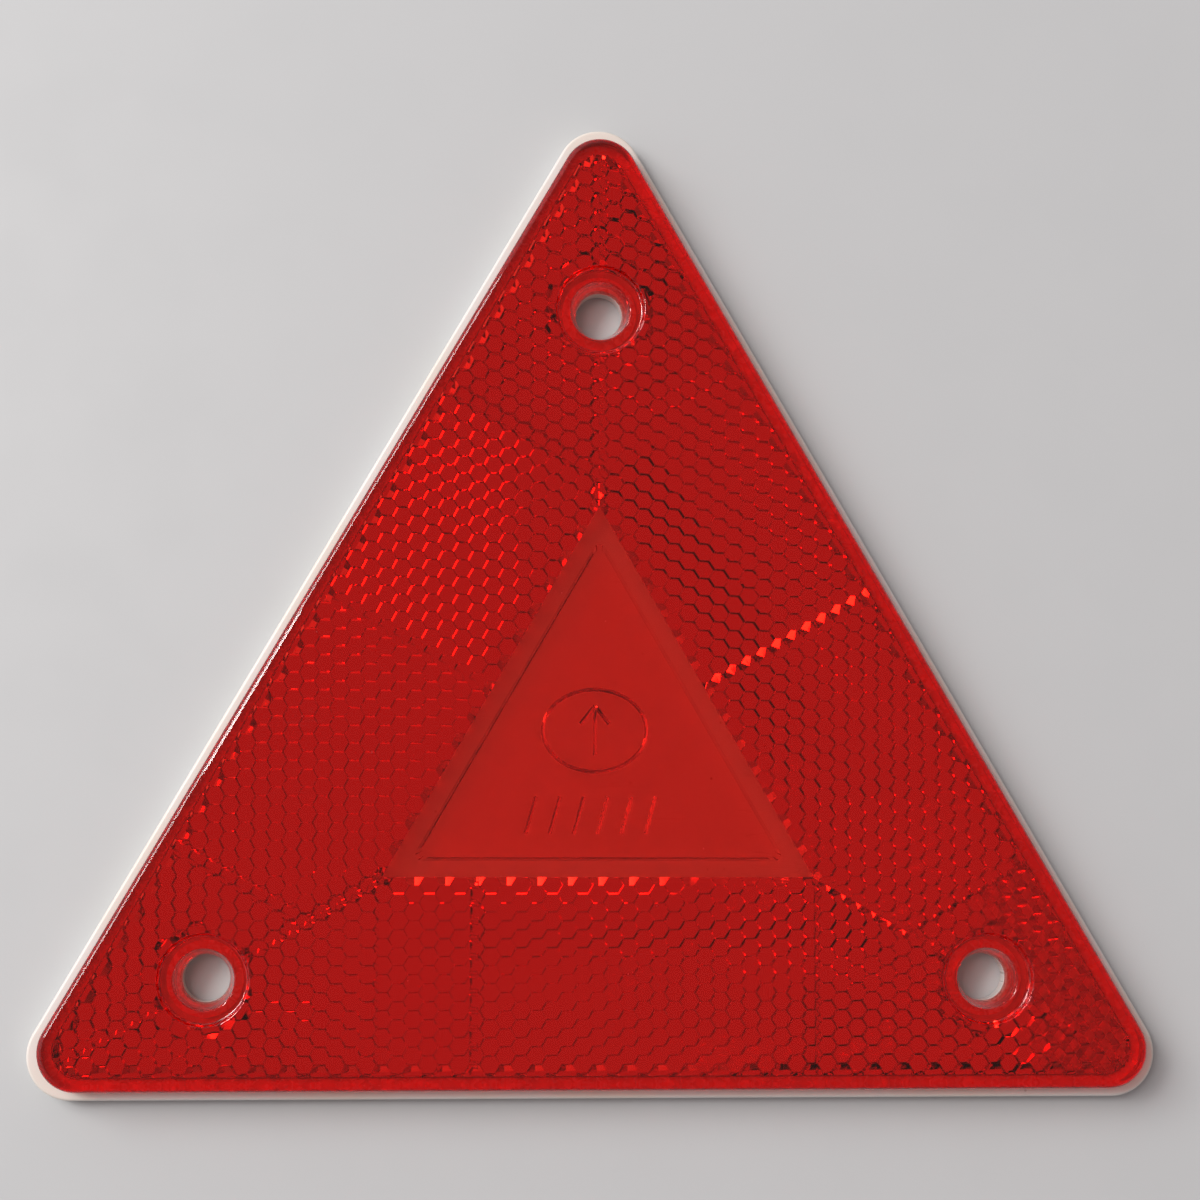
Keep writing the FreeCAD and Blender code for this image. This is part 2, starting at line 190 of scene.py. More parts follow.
def stepped_surface(lines, region_of, height_of):
    """A surface of flat facets at heights of their own, with upright walls wherever two neighbours differ.

    The lines cut the plane into triangles. region_of gives each triangle's region from its middle, below zero
    where there is none, and height_of gives the height of a region at a point. Where two facets cross over
    along an edge, the crossing is made a point of the plane and the plane is cut again, so no wall is twisted.
    """
    extra = np.empty((0, 2))
    for _ in range(3):
        plane, triangles = network(lines, extra)
        middles = plane[triangles].mean(axis=1)
        regions = region_of(middles)
        kept = regions >= 0
        triangles, middles, regions = triangles[kept], middles[kept], regions[kept]
        spread = np.repeat(middles, 3, axis=0)
        heights = height_of(np.repeat(regions, 3), spread, plane[triangles.ravel()]).reshape(-1, 3)
        one, other = neighbours(triangles)
        start = plane[triangles[one[0], one[1]]]
        end = plane[triangles[one[0], (one[1] + 1) % 3]]
        gap_start = heights[one[0], one[1]] - heights[other[0], (other[1] + 1) % 3]
        gap_end = heights[one[0], (one[1] + 1) % 3] - heights[other[0], other[1]]
        crossing = (gap_start * gap_end < 0) & (np.minimum(abs(gap_start), abs(gap_end)) > SAME_LEVEL)
        if not crossing.any():
            break
        share = (gap_start / (gap_start - gap_end + (gap_start == gap_end)))[crossing, None]
        extra = np.vstack([extra, start[crossing] + share * (end - start)[crossing]])

    # Every height found at a point of the plane becomes a level there. Levels are numbered point by point and
    # upwards, so an upright edge between two levels runs through all the numbers between them.
    where = triangles.ravel()
    height = heights.ravel()
    order = np.lexsort((height, where))
    new = np.ones(len(order), bool)
    new[1:] = (np.diff(where[order]) != 0) | (np.diff(height[order]) > SAME_LEVEL)
    level = np.empty(len(order), int)
    level[order] = np.cumsum(new) - 1
    points = np.column_stack([plane[where[order][new]], height[order][new]])
    level = level.reshape(-1, 3)

    start_one, end_one = level[one[0], one[1]], level[one[0], (one[1] + 1) % 3]
    end_other, start_other = level[other[0], other[1]], level[other[0], (other[1] + 1) % 3]
    wall = (start_one != start_other) | (end_one != end_other)
    first, rise_first = start_one[wall], (start_other - start_one)[wall]
    last, rise_last = end_other[wall], (end_one - end_other)[wall]
    up, down = abs(rise_first) + 1, abs(rise_last) + 1
    sizes = up + down
    step = counted(sizes)
    on_first = step < np.repeat(up, sizes)
    from_first = np.repeat(first, sizes) + np.repeat(np.sign(rise_first), sizes) * step
    from_last = np.repeat(last, sizes) + np.repeat(np.sign(rise_last), sizes) * (step - np.repeat(up, sizes))
    walls = np.where(on_first, from_first, from_last)
    return points, np.concatenate([level.ravel(), walls]), np.concatenate([np.full(len(level), 3), sizes])


def neighbours(triangles):
    """Pairs of triangles that share an edge, as two (triangle, corner) index pairs at that edge's starts."""
    start = triangles.ravel()
    end = np.roll(triangles, -1, axis=1).ravel()
    key = np.minimum(start, end) * (triangles.max() + 1) + np.maximum(start, end)
    order = np.argsort(key, kind="stable")
    pair = np.flatnonzero(key[order][:-1] == key[order][1:])
    return np.divmod(order[pair], 3), np.divmod(order[pair + 1], 3)


def make_piece(name, surface, replaced, material):
    """Mesh object of a closed surface, its normals outwards and its seams joined, riding on the only body."""
    points, corners, sizes = surface
    mesh = bpy.data.meshes.new(name)
    mesh.vertices.add(len(points))
    mesh.vertices.foreach_set("co", (points * MM).astype(np.float32).ravel())
    mesh.loops.add(len(corners))
    mesh.loops.foreach_set("vertex_index", corners.astype(np.int32))
    mesh.polygons.add(len(sizes))
    mesh.polygons.foreach_set("loop_start", (np.cumsum(sizes) - sizes).astype(np.int32))
    mesh.polygons.foreach_set("loop_total", sizes.astype(np.int32))
    mesh.materials.append(material)
    mesh.update(calc_edges=True)
    mesh.validate()
    shape = bmesh.new()
    shape.from_mesh(mesh)
    bmesh.ops.remove_doubles(shape, verts=shape.verts, dist=JOIN_DISTANCE)
    bmesh.ops.recalc_face_normals(shape, faces=shape.faces)
    loose = sum(1 for edge in shape.edges if len(edge.link_faces) % 2)
    shape.to_mesh(mesh)
    shape.free()
    if loose:
        raise ValueError(f"{name} has {loose} open edges")
    mesh.shade_smooth()
    mesh.set_sharp_from_angle(angle=np.radians(SHARP_ANGLE))
    piece = bpy.data.objects.new(name, mesh)
    bpy.context.scene.collection.objects.link(piece)
    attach(piece, "root")
    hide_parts(*replaced)
    return piece


JOIN_DISTANCE = 2e-7
SHARP_ANGLE = 15


# --- Regions of the plane ------------------------------------------------------------------------

SIDE_NORMALS = heading_vectors(np.radians([150, 30, 270]))
SIDE_RUNS = np.column_stack([-SIDE_NORMALS[:, 1], SIDE_NORMALS[:, 0]])
HOLES = HOLE_REACH * heading_vectors(CORNER_HEADINGS)


def side_reach(points):
    """How far each point lies from the middle towards its nearest side, and which side that is."""
    reach = points @ SIDE_NORMALS.T
    return reach.max(axis=1), reach.argmax(axis=1)


def inset_at(points, family=FITTED_CORNER):
    """Inset of a family's outline through each point.

    It is the corner radius less the distance to the triangle of the corner centres: the distance to the nearest
    centre within 60 degrees of the corner's heading, and the distance to the nearest side elsewhere.
    """
    core = PLATE_INRADIUS - family
    distance = side_reach(points)[0] - core
    for corner in heading_vectors(CORNER_HEADINGS):
        from_centre = points - 2 * core * corner
        away = np.linalg.norm(from_centre, axis=1)
        distance = np.where(from_centre @ corner > 0.5 * away, away, distance)
    return family - distance


def hole_distance(points):
    """Distance of each point from the nearest screw hole's axis."""
    return np.linalg.norm(points[:, None, :] - HOLES, axis=2).min(axis=1)


def bar_corners(start, end, width):
    """Corners of a straight bar of some width between two points."""
    start, end = np.array(start, float), np.array(end, float)
    run = (end - start) / np.linalg.norm(end - start)
    across = width / 2 * np.array([-run[1], run[0]])
    return np.array([start + across, end + across, end - across, start - across])


def in_bar(points, corners):
    """Whether each point lies within a four-cornered bar: to one side of all four edges."""
    edges = np.roll(corners, -1, axis=0) - corners
    from_corner = points[:, None, :] - corners
    turn = edges[:, 0] * from_corner[:, :, 1] - edges[:, 1] * from_corner[:, :, 0]
    return (turn <= 0).all(axis=1) | (turn >= 0).all(axis=1)


SAME_LINE = 1e-9
SHORTEST_SHARE = 1e-4


def clipped(start, end, normals, limits):
    """The parts of segments inside a convex region, where normal times point stays below each side's limit.

    Along a segment the excess over a limit runs evenly from its start to its end, so each side trims the range
    of shares that is left, from below where the excess falls and from above where it rises.
    """
    low, high = np.zeros(len(start)), np.ones(len(start))
    for normal, limit in zip(normals, limits):
        excess = start @ normal - limit
        change = (end - start) @ normal
        level = abs(change) < SAME_LINE
        share = -excess / np.where(level, 1, change)
        low = np.where(~level & (change < 0), np.maximum(low, share), low)
        high = np.where(~level & (change > 0), np.minimum(high, share), high)
        high = np.where(level & (excess > 0), -1, high)
    kept = high - low > SHORTEST_SHARE
    run = (end - start)[kept]
    return start[kept] + low[kept, None] * run, start[kept] + high[kept, None] * run


# --- Prism field ---------------------------------------------------------------------------------

CELL_HEADINGS = np.radians(np.arange(6) * 60)
FLATS = heading_vectors(CELL_HEADINGS + np.radians(30))
SECTORS_PER_SIDE = 4
OVERRUN = 0.002
STRIP_RISE = 2.4
FAR = 300.0


class PrismField:
    """Hexagonal corner-cube prisms in twelve sectors, each with a lean and a steep strip of its own.

    A cell's back is the highest of three planes through its tip, at right angles to each other.
    """

    def __init__(self, sizes):
        self.pitch = sizes.prism_pitch / MM
        self.back = sizes.sheet_back / MM
        self.inner = sizes.window_inradius / MM
        self.outer = PLATE_INRADIUS - sizes.field_inset / MM
        self.corner_reach = 2 * (PLATE_INRADIUS - FITTED_CORNER) + sizes.field_corner / MM
        self.basis = self.pitch * heading_vectors(np.radians([30, 90]))
        self.rim = self.pitch / np.sqrt(3) * heading_vectors(CELL_HEADINGS)
        self.cuts = np.array([sector_cuts for sector_cuts, _ in SECTORS], float)
        leans = [lean for _, side in SECTORS for lean in side]
        self.slopes = np.array([self.cube_slopes(*lean[:2]) for lean in leans])
        self.flats = FLATS[[lean[2] for lean in leans]]
        self.strip_widths = np.array([lean[3] for lean in leans])
        rise = self.rim @ self.slopes.transpose(0, 2, 1)
        self.tips = np.maximum(self.back - rise.max(axis=2).max(axis=1), sizes.lowest_tip / MM)

    @staticmethod
    def cube_slopes(lean, heading):
        """Steepest slopes of a cube's three faces, tip down, after the cube leans towards a heading.

        Upright, each face's normal is root two thirds along the ground and one over root three upwards. The
        slope is minus the normal's ground part over its upward part.
        """
        ground = -np.sqrt(2 / 3) * heading_vectors(np.radians([0, 120, 240]))
        normals = np.column_stack([ground, np.full(3, 1 / np.sqrt(3))])
        axis = np.append(heading_vectors(np.radians(heading + 90)), 0)
        angle = np.radians(lean)
        leant = normals * np.cos(angle) + np.cross(axis, normals) * np.sin(angle)
        leant += np.outer(normals @ axis, axis) * (1 - np.cos(angle))
        return -leant[:, :2] / leant[:, 2:]

    def nearest_cell(self, points):
        """Centre of the cell that each point lies in: the nearest of the four lattice points round it."""
        share = points @ np.linalg.inv(self.basis)
        low = np.floor(share)
        options = low[:, None, :] + np.array([[0, 0], [1, 0], [0, 1], [1, 1]])
        centres = options @ self.basis
        nearest = np.linalg.norm(points[:, None, :] - centres, axis=2).argmin(axis=1)
        return centres[np.arange(len(points)), nearest]

    def sector(self, points):
        """Sector of each point: four to a side, counted along the side by the cuts across it."""
        _, side = side_reach(points)
        along = (points * SIDE_RUNS[side]).sum(axis=1)
        return side * SECTORS_PER_SIDE + (along[:, None] > self.cuts[side]).sum(axis=1)

    def covers(self, points):
        """Whether prisms cover each point."""
        reach, _ = side_reach(points)
        corner = (points @ heading_vectors(CORNER_HEADINGS).T).max(axis=1)
        return (reach > self.inner) & (reach < self.outer) & (corner < self.corner_reach)

    def height(self, sector, middle, points):
        """Height of the prism surface in the cell and on the face that hold the middle of a triangle.

        On the strip along the cell's chosen flat the surface rises more steeply towards the flat.
        """
        tip = self.nearest_cell(middle)
        slopes = self.slopes[sector]
        face = np.einsum("nkc,nc->nk", slopes, middle - tip).argmax(axis=1)
        slope = slopes[np.arange(len(face)), face]
        flat, inner = self.flats[sector], self.pitch / 2 - self.strip_widths[sector]
        on_strip = (flat * (middle - tip)).sum(axis=1) > inner
        beyond = (flat * (points - tip)).sum(axis=1) - inner
        height = self.tips[sector] + (slope * (points - tip)).sum(axis=1)
        return height + np.where(on_strip, STRIP_RISE * beyond, 0)

    def strip_lines(self, cells, sector, normals, limits):
        """A line inside each cell, parallel to the chosen flat and a strip's width from it."""
        flat, width = self.flats[sector], self.strip_widths[sector]
        run = np.array([-flat[1], flat[0]])
        half = (self.pitch / 2 + width) / np.sqrt(3)
        middle = cells + flat * (self.pitch / 2 - width)
        return clipped(middle - half * run, middle + half * run, normals, limits + OVERRUN)

    def bounds_of(self, sector):
        """Normals and limits of the straight sides round one sector."""
        side, place = divmod(sector, SECTORS_PER_SIDE)
        normal, run = SIDE_NORMALS[side], SIDE_RUNS[side]
        others = np.delete(SIDE_NORMALS, side, axis=0)
        normals = [normal, -normal, *(others - normal), *heading_vectors(CORNER_HEADINGS)]
        limits = [self.outer, -self.inner, 0, 0, *[self.corner_reach] * 3]
        if place > 0:
            normals.append(-run)
            limits.append(-self.cuts[side][place - 1])
        if place < SECTORS_PER_SIDE - 1:
            normals.append(run)
            limits.append(self.cuts[side][place])
        return np.array(normals), np.array(limits)

    def lines(self):
        """Every straight line of the field as a two-point line: cell edges, ridges and the sectors' edges."""
        count = int(np.ceil(2.4 * PLATE_INRADIUS / self.pitch))
        steps = np.arange(-count, count + 1)
        cells = np.stack(np.meshgrid(steps, steps), axis=-1).reshape(-1, 2) @ self.basis
        found = [self.frame()]
        for sector in range(len(self.tips)):
            normals, limits = self.bounds_of(sector)
            near = cells[(cells @ normals.T < limits + self.pitch).all(axis=1)]
            start = (near[:, None, :] + self.rim[:3]).reshape(-1, 2)
            end = (near[:, None, :] + self.rim[1:4]).reshape(-1, 2)
            found.append(clipped(start, end, normals, limits + OVERRUN))
            found.append(self.ridges(near, sector, normals, limits))
            found.append(self.strip_lines(near, sector, normals, limits))
        start = np.vstack([pair[0] for pair in found])
        end = np.vstack([pair[1] for pair in found])
        kept = (hole_distance(start) > WELL_OUTER) | (hole_distance(end) > WELL_OUTER)
        return np.stack([start, end], axis=1)[kept]

    def ridges(self, cells, sector, normals, limits):
        """Ridges from each cell's tip to its rim, each at right angles to the difference of two slopes."""
        slopes = self.slopes[sector]
        difference = slopes - np.roll(slopes, -1, axis=0)
        run = np.column_stack([-difference[:, 1], difference[:, 0]])
        run /= np.linalg.norm(run, axis=1)[:, None]
        third = np.roll(slopes, -2, axis=0)
        run *= np.sign((run * (slopes - third)).sum(axis=1))[:, None]
        reach = (self.pitch / 2 + OVERRUN) / (run @ FLATS.T).max(axis=1)
        start = np.repeat(cells, 3, axis=0)
        end = start + np.tile(reach[:, None] * run, (len(cells), 1))
        return clipped(start, end, normals, limits + OVERRUN)

    def frame(self):
        """The edges of the sectors, each line made once and trimmed to where the prisms are.

        For each side: its outer and inner edge, the lines across the corners' ends, the cuts and the line to
        one corner.
        """
        found = []
        for side, (normal, run) in enumerate(zip(SIDE_NORMALS, SIDE_RUNS)):
            others = np.delete(SIDE_NORMALS, side, axis=0) - normal
            normals = np.array([normal, -normal, *others, *heading_vectors(CORNER_HEADINGS)])
            limits = np.array([self.outer, -self.inner, 0, 0, *[self.corner_reach] * 3])
            edges = [(normal, self.outer), (normal, self.inner)]
            edges += [(corner, self.corner_reach) for corner in heading_vectors(CORNER_HEADINGS)]
            edges += [(run, cut) for cut in self.cuts[side]]
            edges += [(others[0] / np.linalg.norm(others[0]), 0)]
            for across, reach in edges:
                along = np.array([[-across[1], across[0]]])
                foot = across * reach
                loose = abs(normals @ across / np.linalg.norm(normals, axis=1)) < 0.999
                start, end = foot - FAR * along, foot + FAR * along
                found.append(clipped(start, end, normals[loose], limits[loose] + OVERRUN))
        start = np.vstack([pair[0] for pair in found])
        end = np.vstack([pair[1] for pair in found])
        _, first = np.unique(np.round(start + end, 3), axis=0, return_index=True)
        return start[first], end[first]


# Cuts across each side, measured along it from its middle, and its four sectors in order. Each sector gives the
# lean of its cubes and the heading they lean to, in degrees, then the flat that has a steep strip, counted from
# the flat at 30 degrees, and the strip's width in millimetres.
SECTORS = (
    ((-33.0, 0.0, 39.4), ((4, 20, 5, 0.08), (4, 150, 5, 0.07), (4, 90, 4, 0.08), (5, 350, 5, 0.06))),
    ((-42.5, 0.0, 34.0), ((5, 30, 4, 0.05), (4, 150, 5, 0.11), (4, 330, 5, 0.05), (6, 345, 5, 0.07))),
    ((-30.0, -16.4, 28.9), ((5, 300, 4, 0.05), (5, 330, 5, 0.06), (3, 0, 5, 0.06), (4, 30, 0, 0.07))),
)

# A plain ring, an arrow that points up and a row of short bars, where such a lens carries its approval marks.
RING_SIZE = (7.4, 5.9)
RING_CENTRE = (-0.6, 3.0)
STROKE = 0.5
ARROW = (((-0.6, -0.4), (-0.6, 6.4)), ((-0.6, 6.4), (-2.6, 3.9)), ((-0.6, 6.4), (1.4, 3.9)))
BAR_ROW = tuple(((x - 0.9, -11.2), (x + 0.5, -6.1)) for x in (-9.2, -5.9, -2.6, 0.7, 4.0, 7.3))

# --- Sizes and colours ---------------------------------------------------------------------------


def length(name, description, default_mm):
    """A length property whose default is given in millimetres."""
    return bpy.props.FloatProperty(name=name, description=description, default=default_mm * MM, min=0,
                                   subtype="DISTANCE", unit="LENGTH", precision=5)


def colour(name, description, default):
    """A colour property."""
    return bpy.props.FloatVectorProperty(name=name, description=description, default=default, size=3,
                                         min=0, max=1, subtype="COLOR")


def factor(name, description, default, largest=1.0):
    """A plain number from nought to a largest value."""
    return bpy.props.FloatProperty(name=name, description=description, default=default, min=0, max=largest)


class LensSizes(bpy.types.PropertyGroup):
    """Sizes of the red lens."""

    wall: length("Skirt wall", "Thickness of the wall round the lens", 1.8)
    front_rounding: length("Front rounding", "Radius round the front edge", 0.9)
    sheet_back: length("Back of the sheet", "Height of the plain back of the front sheet", 5.3)
    prism_pitch: length("Prism pitch", "Distance between the flats of a hexagonal prism", 2.43)
    lowest_tip: length("Lowest prism tip", "Height that no prism tip goes below", 2.95)
    field_inset: length("Prism inset", "Inset at which the prisms stop, just past the wall", 3.2)
    field_corner: length("Prism corner reach", "How far the prisms run past the corner's centre", 3.55)
    window_inradius: length("Window", "Distance from the middle to the window's side", 17.118)
    window_corner: length("Window corner", "Radius of the window's corners", 1.0)
    pane_inradius: length("Pane", "Distance from the middle to the thick pane's side", 14.918)
    pane_depth: length("Pane depth", "How far the pane stands behind the sheet", 0.5)
    mark_depth: length("Mark depth", "How far the ring, arrow and bars stand behind the pane", 0.3)
    dish_radius: length("Dish radius", "Radius of the recess for a screw head", 6.15)
    dish_depth: length("Dish depth", "Depth of the recess for a screw head", 1.0)
    well_radius: length("Well radius", "Radius of the screw well under the recess", 4.15)
    hole_radius: length("Hole radius", "Radius of the screw hole", 3.25)


class PlateSizes(bpy.types.PropertyGroup):
    """Sizes of the white back plate."""

    flange_width: length("Flange width", "Width of the flange's top", 1.35)
    flange_rounding: length("Flange rounding", "Radius on the flange's outer top edge", 0.4)
    rear_rounding: length("Rear rounding", "Radius round the mounting face", 0.3)
    rib_inset: length("Rib inset", "Inset of the outer side of the locating rib", 3.35)
    rib_width: length("Rib width", "Width of the locating rib", 1.0)
    rib_height: length("Rib height", "Height of the locating rib above the floor", 0.8)
    rear_land: length("Rear land", "Width of the mounting face round the rear", 5.5)
    rear_depth: length("Rear depth", "Depth of the hollows in the rear", 0.6)
    rear_pad_radius: length("Rear pad radius", "Radius of the pad round each screw hole", 8.5)
    rear_rib_width: length("Rear rib width", "Width of the ribs that join the pads", 2.4)
    hole_chamfer: length("Hole chamfer", "Chamfer of the holes at the rear", 0.25)


class Finish(bpy.types.PropertyGroup):
    """Colours of the plastics and the stage, and the strength of the light."""

    lens_tint: colour("Lens tint", "Colour that the dye in the lens lets through", (0.994, 0.15, 0.012))
    lens_dye: factor("Lens dye", "How dense the dye is, per metre", 800.0, 5000.0)
    lens_haze: factor("Lens haze", "Roughness of the clean moulded surface", 0.03)
    plate_colour: colour("Plate colour", "Moulded white plastic", (0.66, 0.62, 0.585))
    bead_colour: colour("Weld colour", "Flash of both plastics at the weld", (0.80, 0.40, 0.34))
    floor_colour: colour("Table colour", "Pale table top", (0.485, 0.50, 0.503))
    window_power: factor("Window light", "Power of the broad window light, in watts", 18.0, 1000.0)
    gap_power: factor("Curtain gap light", "Power of the narrow light higher up, in watts", 7.0, 1000.0)
    sky_strength: factor("Room light", "Strength of the light from the room's sides", 0.28, 10.0)
    window_glow: factor("Window glow", "Strength of the light round the window", 1.1, 20.0)
    overhead_strength: factor("Overhead light", "Strength of the light from straight above", 0.42, 10.0)
    overhead_colour: colour("Overhead colour", "Tint of the light from straight above", (1.0, 0.55, 0.5))


# --- Materials -----------------------------------------------------------------------------------


def new_group(name, outputs):
    """An empty node group that reads object coordinates and has the given outputs, with a way to add nodes."""
    tree = bpy.data.node_groups.new(name, "ShaderNodeTree")
    tree.interface.new_socket("Vector", in_out="INPUT", socket_type="NodeSocketVector")
    for output, kind in outputs:
        tree.interface.new_socket(output, in_out="OUTPUT", socket_type=kind)
    return tree, tree.nodes.new("NodeGroupInput"), tree.nodes.new("NodeGroupOutput")


def node(tree, kind, inputs=None, **settings):
    """A node with its settings made and its inputs set to values or linked to other nodes' outputs."""
    made = tree.nodes.new(kind)
    for key, value in settings.items():
        setattr(made, key, value)
    for key, value in (inputs or {}).items():
        if isinstance(value, bpy.types.NodeSocket):
            tree.links.new(value, made.inputs[key])
        else:
            made.inputs[key].default_value = value
    return made


def stepped(tree, value, low, high, floor=0.0, ceiling=1.0):
    """Value run from floor to ceiling as it goes from low to high, with a smooth start and end."""
    ends = {"Value": value, "From Min": low, "From Max": high, "To Min": floor, "To Max": ceiling}
    mapped = node(tree, "ShaderNodeMapRange", ends, interpolation_type="SMOOTHSTEP")
    return mapped.outputs["Result"]


def product(tree, one, other, operation="MULTIPLY"):
    """Two values multiplied, or put through another operation."""
    return node(tree, "ShaderNodeMath", {0: one, 1: other}, operation=operation).outputs[0]


def speck_group():
    """Dust: small spots of uneven size, thinned out by a slow noise. Gives a mask."""
    tree, entry, leave = new_group("Dust specks", [("Mask", "NodeSocketFloat")])
    cells = node(tree, "ShaderNodeTexVoronoi", {"Vector": entry.outputs[0], "Scale": 420.0, "Randomness": 1.0})
    spots = stepped(tree, cells.outputs["Distance"], 0.10, 0.05)
    slow = node(tree, "ShaderNodeTexNoise", {"Vector": entry.outputs[0], "Scale": 90.0, "Detail": 3.0})
    patches = stepped(tree, slow.outputs["Fac"], 0.56, 0.66)
    tree.links.new(product(tree, spots, patches), leave.inputs[0])
    return tree


def scratch_group():
    """Hairline scratches: thin lines where a stretched noise crosses its middle, in two directions. A mask."""
    tree, entry, leave = new_group("Hairline scratches", [("Mask", "NodeSocketFloat")])
    masks = []
    for angle, squeeze in ((0.5, 38.0), (2.2, 30.0)):
        turned_to = node(tree, "ShaderNodeMapping", {"Vector": entry.outputs[0], "Rotation": (0, 0, angle),
                                                     "Scale": (squeeze, 900.0, squeeze)})
        noise = node(tree, "ShaderNodeTexNoise", {"Vector": turned_to.outputs[0], "Scale": 1.0, "Detail": 1.0})
        off = product(tree, product(tree, noise.outputs["Fac"], 0.5, "SUBTRACT"), 0.0, "ABSOLUTE")
        masks.append(stepped(tree, off, 0.012, 0.0))
    both = product(tree, masks[0], masks[1], "MAXIMUM")
    slow = node(tree, "ShaderNodeTexNoise", {"Vector": entry.outputs[0], "Scale": 60.0, "Detail": 2.0})
    tree.links.new(product(tree, both, stepped(tree, slow.outputs["Fac"], 0.5, 0.7)), leave.inputs[0])
    return tree


def mould_group():
    """Fine moulded grain, and slow waves from shrinking. Gives a value of each."""
    outputs = [("Grain", "NodeSocketFloat"), ("Wave", "NodeSocketFloat")]
    tree, entry, leave = new_group("Moulded surface", outputs)
    fine = node(tree, "ShaderNodeTexNoise", {"Vector": entry.outputs[0], "Scale": 2600.0, "Detail": 2.0})
    slow = node(tree, "ShaderNodeTexNoise", {"Vector": entry.outputs[0], "Scale": 70.0, "Detail": 2.0})
    tree.links.new(fine.outputs["Fac"], leave.inputs["Grain"])
    tree.links.new(slow.outputs["Fac"], leave.inputs["Wave"])
    return tree


def shared_group(name, make):
    """The node group of that name, made the first time that it is asked for."""
    return bpy.data.node_groups.get(name) or make()


def new_material(name):
    """A material with its shader, its node tree and the piece's own coordinates."""
    material = bpy.data.materials.new(name)
    material.use_nodes = True
    tree = material.node_tree
    place = node(tree, "ShaderNodeTexCoord").outputs["Object"]
    return material, tree, tree.nodes["Principled BSDF"], place


def group_mask(tree, group, place, output="Mask"):
    """An output of a shared node group at a place."""
    return node(tree, "ShaderNodeGroup", {"Vector": place}, node_tree=group).outputs[output]


def mixed(tree, share, one, other):
    """A colour mixed from two by a share."""
    mix = tree.nodes.new("ShaderNodeMix")
    mix.data_type = "RGBA"
    for index, value in ((0, share), (6, one), (7, other)):
        if isinstance(value, bpy.types.NodeSocket):
            tree.links.new(value, mix.inputs[index])
        else:
            mix.inputs[index].default_value = value if index == 0 else (*value, 1)[:4]
    return mix.outputs[2]


def lens_material(finish):
    """Clear red acrylic: gloss with hairline scratches and dust, dyed through its depth."""
    material, tree, shader, place = new_material("red_acrylic")
    dust = group_mask(tree, shared_group("Dust specks", speck_group), place)
    lines = group_mask(tree, shared_group("Hairline scratches", scratch_group), place)
    wave = group_mask(tree, shared_group("Moulded surface", mould_group), place, "Wave")
    rough = stepped(tree, lines, 0.0, 1.0, finish.lens_haze, 0.16)
    tree.links.new(product(tree, rough, product(tree, dust, 0.25), "ADD"), shader.inputs["Roughness"])
    dusty = mixed(tree, product(tree, dust, 0.5), (1, 1, 1), (0.55, 0.42, 0.36))
    tree.links.new(dusty, shader.inputs["Base Color"])
    bump = node(tree, "ShaderNodeBump", {"Height": wave, "Strength": 0.1, "Distance": 0.0004})
    tree.links.new(bump.outputs[0], shader.inputs["Normal"])
    shader.inputs["Metallic"].default_value = 0
    shader.inputs["Transmission Weight"].default_value = 1
    shader.inputs["IOR"].default_value = 1.49
    through = {"Color": (*finish.lens_tint, 1), "Density": finish.lens_dye}
    dye = node(tree, "ShaderNodeVolumeAbsorption", through)
    tree.links.new(dye.outputs[0], tree.nodes["Material Output"].inputs["Volume"])
    return material


def plate_material(finish):
    """White moulded plastic: satin, with a fine grain, slow waves, faint yellowing and specks of dirt."""
    material, tree, shader, place = new_material("white_plastic")
    dust = group_mask(tree, shared_group("Dust specks", speck_group), place)
    lines = group_mask(tree, shared_group("Hairline scratches", scratch_group), place)
    mould = shared_group("Moulded surface", mould_group)
    wave = group_mask(tree, mould, place, "Wave")
    plain = Vector(finish.plate_colour)
    yellowed = Vector((plain.x, plain.y * 0.97, plain.z * 0.92))
    aged = mixed(tree, stepped(tree, wave, 0.4, 0.65), plain, yellowed)
    dusty = mixed(tree, product(tree, dust, 0.55), aged, (0.30, 0.25, 0.21))
    tree.links.new(dusty, shader.inputs["Base Color"])
    tree.links.new(stepped(tree, lines, 0.0, 1.0, 0.34, 0.22), shader.inputs["Roughness"])
    grain = group_mask(tree, mould, place, "Grain")
    bump = node(tree, "ShaderNodeBump", {"Height": grain, "Strength": 0.25, "Distance": 0.00003})
    tree.links.new(bump.outputs[0], shader.inputs["Normal"])
    shader.inputs["IOR"].default_value = 1.53
    return material


def bead_material(finish):
    """Welded flash: both plastics run together in streaks, with a lumpy gloss."""
    material, tree, shader, place = new_material("weld_flash")
    streaks = {"Vector": place, "Scale": 700.0, "Detail": 3.0, "Distortion": 1.2}
    streak = node(tree, "ShaderNodeTexNoise", streaks)
    red = Vector(finish.bead_colour)
    pale = tuple(part + (1 - part) * 0.4 for part in red)
    share = stepped(tree, streak.outputs["Fac"], 0.42, 0.62)
    tree.links.new(mixed(tree, share, red, pale), shader.inputs["Base Color"])
    tree.links.new(stepped(tree, streak.outputs["Fac"], 0.3, 0.7, 0.18, 0.38), shader.inputs["Roughness"])
    bump = node(tree, "ShaderNodeBump", {"Height": streak.outputs["Fac"], "Strength": 0.5, "Distance": 0.0001})
    tree.links.new(bump.outputs[0], shader.inputs["Normal"])
    return material


